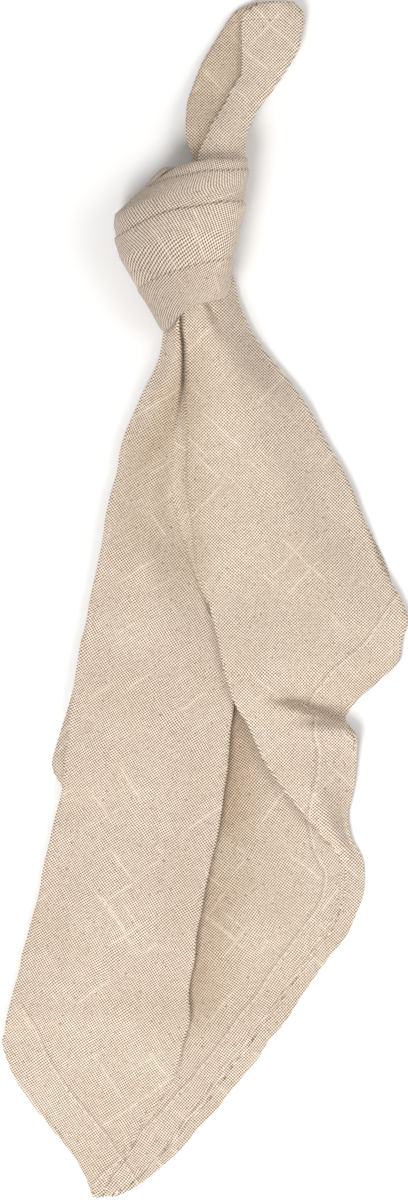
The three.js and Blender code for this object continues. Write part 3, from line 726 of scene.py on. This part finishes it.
class Wire:
    """A socket that takes part in sums, so that shader maths reads as maths."""

    def __init__(self, socket):
        self.socket = socket

    @staticmethod
    def node(kind, settings=None, out=0, **inputs):
        """A node; its inputs are given by name, or by number, as i0, where names repeat."""
        made = tree.nodes.new(kind)
        for key, value in (settings or {}).items():
            setattr(made, key, value)
        for key, value in inputs.items():
            numbered = key[0] == "i" and key[1:].isdigit()
            target = made.inputs[int(key[1:]) if numbered else key.replace("_", " ")]
            if isinstance(value, Wire):
                tree.links.new(value.socket, target)
            else:
                target.default_value = value
        return Wire(made.outputs[out])

    def maths(self, operation, other=None, flip=False):
        first, second = (other, self) if flip else (self, other)
        inputs = {"i0": first}
        if second is not None:
            inputs["i1"] = second
        return Wire.node("ShaderNodeMath", {"operation": operation}, **inputs)

    def __add__(self, other):
        return self.maths("ADD", other)

    def __sub__(self, other):
        return self.maths("SUBTRACT", other)

    def __rsub__(self, other):
        return self.maths("SUBTRACT", other, flip=True)

    def __mul__(self, other):
        return self.maths("MULTIPLY", other)

    def __truediv__(self, other):
        return self.maths("DIVIDE", other)

    __radd__ = __add__
    __rmul__ = __mul__

    def over(self, level):
        return self.maths("GREATER_THAN", level)

    def ramp(self, start, end):
        settings = {"interpolation_type": "SMOOTHSTEP"}
        return Wire.node("ShaderNodeMapRange", settings, i0=self, i1=start, i2=end)


def blend(factor, first, second, mode="MIX"):
    """One colour over another, or multiplied into it."""
    settings = {"data_type": "RGBA", "blend_type": mode}
    return Wire.node("ShaderNodeMix", settings, out=2, i0=factor, i6=first, i7=second)


def flat_noise(x, y, detail=1.0, roughness=0.5):
    place = Wire.node("ShaderNodeCombineXYZ", X=x, Y=y)
    return Wire.node("ShaderNodeTexNoise", {"noise_dimensions": "2D"}, Vector=place, Scale=1.0,
                     Detail=detail, Roughness=roughness)


def from_map(name):
    """The two values that a map of the mesh holds."""
    split = Wire.node("ShaderNodeSeparateXYZ", Vector=Wire.node("ShaderNodeUVMap", {"uv_map": name}))
    return split, Wire(split.socket.node.outputs[1])


# The weave: the threads wander a little, lie over and under one another in turn, and differ in
# tone along their length and from crossing to crossing. Between four of them is a dark gap.
THREAD_PITCH = 0.95
WANDER, WANDER_ACROSS, WANDER_ALONG, WEFT_WANDER_SEED = 1.2, 14.0, 30.0, 50.0
WARP_SPREAD, WEFT_SPREAD, WEFT_SEED = 7.31, 5.77, 40.0
TONE_ALONG, TONE_DETAIL = 0.085, 2.0
GAP_RAMP = (0.15, 0.72)
u, v = from_map("cloth")
wander_u = flat_noise(v / WANDER_ACROSS, u / WANDER_ALONG)
wander_v = flat_noise(u / WANDER_ACROSS + WEFT_WANDER_SEED, v / WANDER_ALONG)
warp = u / THREAD_PITCH + wander_u * WANDER
weft = v / THREAD_PITCH + wander_v * WANDER
warp_number, weft_number = warp.maths("FLOOR"), weft.maths("FLOOR")
warp_aside = (warp - warp_number - 0.5).maths("ABSOLUTE") * 2.0
weft_aside = (weft - weft_number - 0.5).maths("ABSOLUTE") * 2.0
warp_over = (warp_number + weft_number).maths("FLOORED_MODULO", 2.0)
crown = warp_over * (1.0 - weft_aside * weft_aside) + (1.0 - warp_over) * (1.0 - warp_aside * warp_aside)
gap = warp_aside.ramp(*GAP_RAMP) * weft_aside.ramp(*GAP_RAMP)
warp_tone = flat_noise(warp_number * WARP_SPREAD, weft * TONE_ALONG, TONE_DETAIL)
weft_tone = flat_noise(weft_number * WEFT_SPREAD + WEFT_SEED, warp * TONE_ALONG, TONE_DETAIL)
thread_tone = warp_over * warp_tone + (1.0 - warp_over) * weft_tone
crossing = Wire.node("ShaderNodeCombineXYZ", X=warp_number, Y=weft_number)
crossing_tone = Wire.node("ShaderNodeTexWhiteNoise", {"noise_dimensions": "2D"}, Vector=crossing)

# Its slubs, its fine fibres, its broad patches and its flecks.
SLUB_ALONG, SLUB_RAMP = 0.016, (0.72, 0.78)
WARP_SLUB_SPREAD, WARP_SLUB_SEED = 3.17, 9.0
WEFT_SLUB_SPREAD, WEFT_SLUB_SEED = 2.91, 71.0
GRAIN_SCALE, GRAIN_DETAIL, GRAIN_ROUGHNESS = 1.6, 3.0, 0.7
PATCH_SIZE, PATCH_DETAIL, PATCH_RAMP = 38.0, 2.0, (0.35, 0.75)
FLECK_SCALE, FLECK_SEED, FLECK_RAMP = 0.8, 300.0, (0.72, 0.78)


def slubs(thread, along):
    """The few stretches where a thread is thick and pale."""
    return flat_noise(thread, along * SLUB_ALONG).ramp(*SLUB_RAMP)


warp_slub = slubs(warp_number * WARP_SLUB_SPREAD + WARP_SLUB_SEED, weft)
weft_slub = slubs(weft_number * WEFT_SLUB_SPREAD + WEFT_SLUB_SEED, warp)
slub = warp_slub.maths("MAXIMUM", weft_slub)
grain = flat_noise(u * GRAIN_SCALE, v * GRAIN_SCALE, GRAIN_DETAIL, GRAIN_ROUGHNESS)
patch = flat_noise(u / PATCH_SIZE, v / PATCH_SIZE, PATCH_DETAIL).ramp(*PATCH_RAMP)
fleck = flat_noise(u * FLECK_SCALE + FLECK_SEED, v * FLECK_SCALE).ramp(*FLECK_RAMP)

# Each hem is sewn down with one row of pale stitches, just inside the groove of its turned edge.
STITCH_LENGTH, STITCH_GAP, STITCH_ROW, STITCH_HALF = 2.6, 1.0, 16.2, 0.4
GROOVE_RAMP = (0.2, 0.8)


def sewn(map_name):
    """The groove and the stitches of one hem."""
    from_edge, along_edge = from_map(map_name)
    groove = 1.0 - (from_edge - HEM_WIDTH).maths("ABSOLUTE").ramp(*GROOVE_RAMP)
    step = (along_edge / (STITCH_LENGTH + STITCH_GAP)).maths("FRACT")
    row = 1.0 - (from_edge - STITCH_ROW).maths("ABSOLUTE").over(STITCH_HALF)
    return groove, row * (1.0 - step.over(STITCH_LENGTH / (STITCH_LENGTH + STITCH_GAP)))


seam, stitch = sewn("hem")
tip_seam, tip_stitch = sewn("tip_hem")
seam, stitch = seam.maths("MAXIMUM", tip_seam), stitch.maths("MAXIMUM", tip_stitch)

# How strongly each of them tells in the colour.
THREAD_TELLS, CROSSING_TELLS, GRAIN_TELLS, CROWN_TELLS = 0.35, 0.75, 0.35, 1.9
MIDDLE_CROWN, MIDDLE_TONE = 0.6, 0.645
SLUB_TELLS, GAP_TELLS, GAP_UNDER_SLUB = 0.25, 0.9, 0.6
PATCH_TELLS, FLECK_TELLS = 0.12, 0.6
SEAM_SHADE_TELLS, STITCH_TELLS = 0.16, 0.35
tone = (thread_tone - 0.5) * THREAD_TELLS + (crossing_tone - 0.5) * CROSSING_TELLS
tone = tone + (grain - 0.5) * GRAIN_TELLS + (crown - MIDDLE_CROWN) * CROWN_TELLS + MIDDLE_TONE
deep_shade, turned_shade = from_map("shade")
colour = blend(tone.ramp(0.0, 1.0), LINEN_DARK, LINEN_PALE)
colour = blend(slub * SLUB_TELLS, colour, LINEN_PALE)
colour = blend(gap * (1.0 - slub * GAP_UNDER_SLUB) * GAP_TELLS, colour, LINEN_GAP)
colour = blend(patch * PATCH_TELLS, colour, LINEN_DARK)
colour = blend(fleck * FLECK_TELLS, colour, FLECK)
# Painted shade: the groove of each hem's seam is painted darker.
colour = blend(seam * SEAM_SHADE_TELLS, colour, LINEN_GAP)
colour = blend(stitch * STITCH_TELLS, colour, LINEN_PALE)
# Painted shade: the colour is darkened and warmed where the cloth lies deep, and greyed where it is turned
# from the light.
colour = blend(deep_shade, colour, DEEP_SHADE_TINT, "MULTIPLY")
colour = blend(turned_shade, colour, TURNED_SHADE_TINT, "MULTIPLY")

# How high each of them stands, as a share of BUMP_HEIGHT, in metres.
CROWN_STANDS, SLUB_STANDS, GRAIN_STANDS, STITCH_STANDS = 0.6, 0.7, 0.4, 0.8
SEAM_SINKS, GAP_SINKS = 0.7, 0.6
BUMP_HEIGHT, BUMP_STRENGTH = 0.0003, 0.6
height = crown * CROWN_STANDS + slub * SLUB_STANDS + grain * GRAIN_STANDS + stitch * STITCH_STANDS
height = height - seam * SEAM_SINKS - gap * GAP_SINKS
bump = Wire.node("ShaderNodeBump", Strength=BUMP_STRENGTH, Distance=BUMP_HEIGHT, Height=height)

# Linen is matt, with a faint sheen of its fibres.
surface = Wire.node("ShaderNodeBsdfPrincipled", Base_Color=colour, Roughness=0.92, Normal=bump,
                    Specular_IOR_Level=0.18, Sheen_Weight=0.12, Sheen_Roughness=0.5)
output = tree.nodes.new("ShaderNodeOutputMaterial")
tree.links.new(surface.socket, output.inputs["Surface"])
napkin.data.materials.append(linen)

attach(napkin, "root")
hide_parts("napkin")

# The camera. The napkin lies on a table and is seen from straight above, through a long lens, so
# that it fills the upright frame from edge to edge. The photo's scale holds at the cloth's height.
PHOTO_HEIGHT = 1200
MM_PER_PIXEL = 0.43
CAMERA_HEIGHT = 3.0
CLOTH_HEIGHT = 0.012
SENSOR = 0.036

camera_data = bpy.data.cameras.new("camera")
camera_data.sensor_fit = "VERTICAL"
camera_data.sensor_height = SENSOR / MM
camera_data.lens = SENSOR / MM * CAMERA_HEIGHT / (PHOTO_HEIGHT * MM_PER_PIXEL * MM)
camera_data.clip_end = 20.0
camera = bpy.data.objects.new("camera", camera_data)
camera.location = (0.0, 0.0, CAMERA_HEIGHT + CLOTH_HEIGHT)
bpy.context.scene.collection.objects.link(camera)
bpy.context.scene.camera = camera

# The studio: plain pale paper to lie on, a soft key light from the lower left that brings out the
# folds, a weaker one from the right, and an even, slightly warm light all round.
PAPER_COLOUR = (0.88, 0.90, 0.93, 1.0)
PAPER_SIZE, PAPER_ROUGHNESS = 8.0, 0.9
SKY_COLOUR, SKY_STRENGTH = (1.0, 0.955, 0.90, 1.0), 0.60
# name, place, size, power, colour
LIGHTS = [
    ("key", (-1.2, -2.1, 2.6), 1.5, 86.0, (1.0, 0.985, 0.965)),
    ("fill", (1.9, 0.2, 2.0), 1.4, 18.0, (1.0, 0.97, 0.94)),
]

bpy.ops.mesh.primitive_plane_add(size=PAPER_SIZE, location=(0, 0, 0))
floor = bpy.context.active_object
floor.name = "floor"
paper = bpy.data.materials.new("paper")
paper.use_nodes = True
paper.node_tree.nodes["Principled BSDF"].inputs["Base Color"].default_value = PAPER_COLOUR
paper.node_tree.nodes["Principled BSDF"].inputs["Roughness"].default_value = PAPER_ROUGHNESS
floor.data.materials.append(paper)

for name, place, size, power, tint in LIGHTS:
    data = bpy.data.lights.new(name, "AREA")
    data.shape = "DISK"
    data.size = size
    data.energy = power
    data.color = tint
    light = bpy.data.objects.new(name, data)
    light.location = place
    light.rotation_euler = (-Vector(place)).to_track_quat("-Z", "Y").to_euler()
    bpy.context.scene.collection.objects.link(light)

world = bpy.data.worlds.new("studio")
world.use_nodes = True
world.node_tree.nodes["Background"].inputs["Color"].default_value = SKY_COLOUR
world.node_tree.nodes["Background"].inputs["Strength"].default_value = SKY_STRENGTH
bpy.context.scene.world = world
bpy.context.scene.view_settings.view_transform = "Standard"
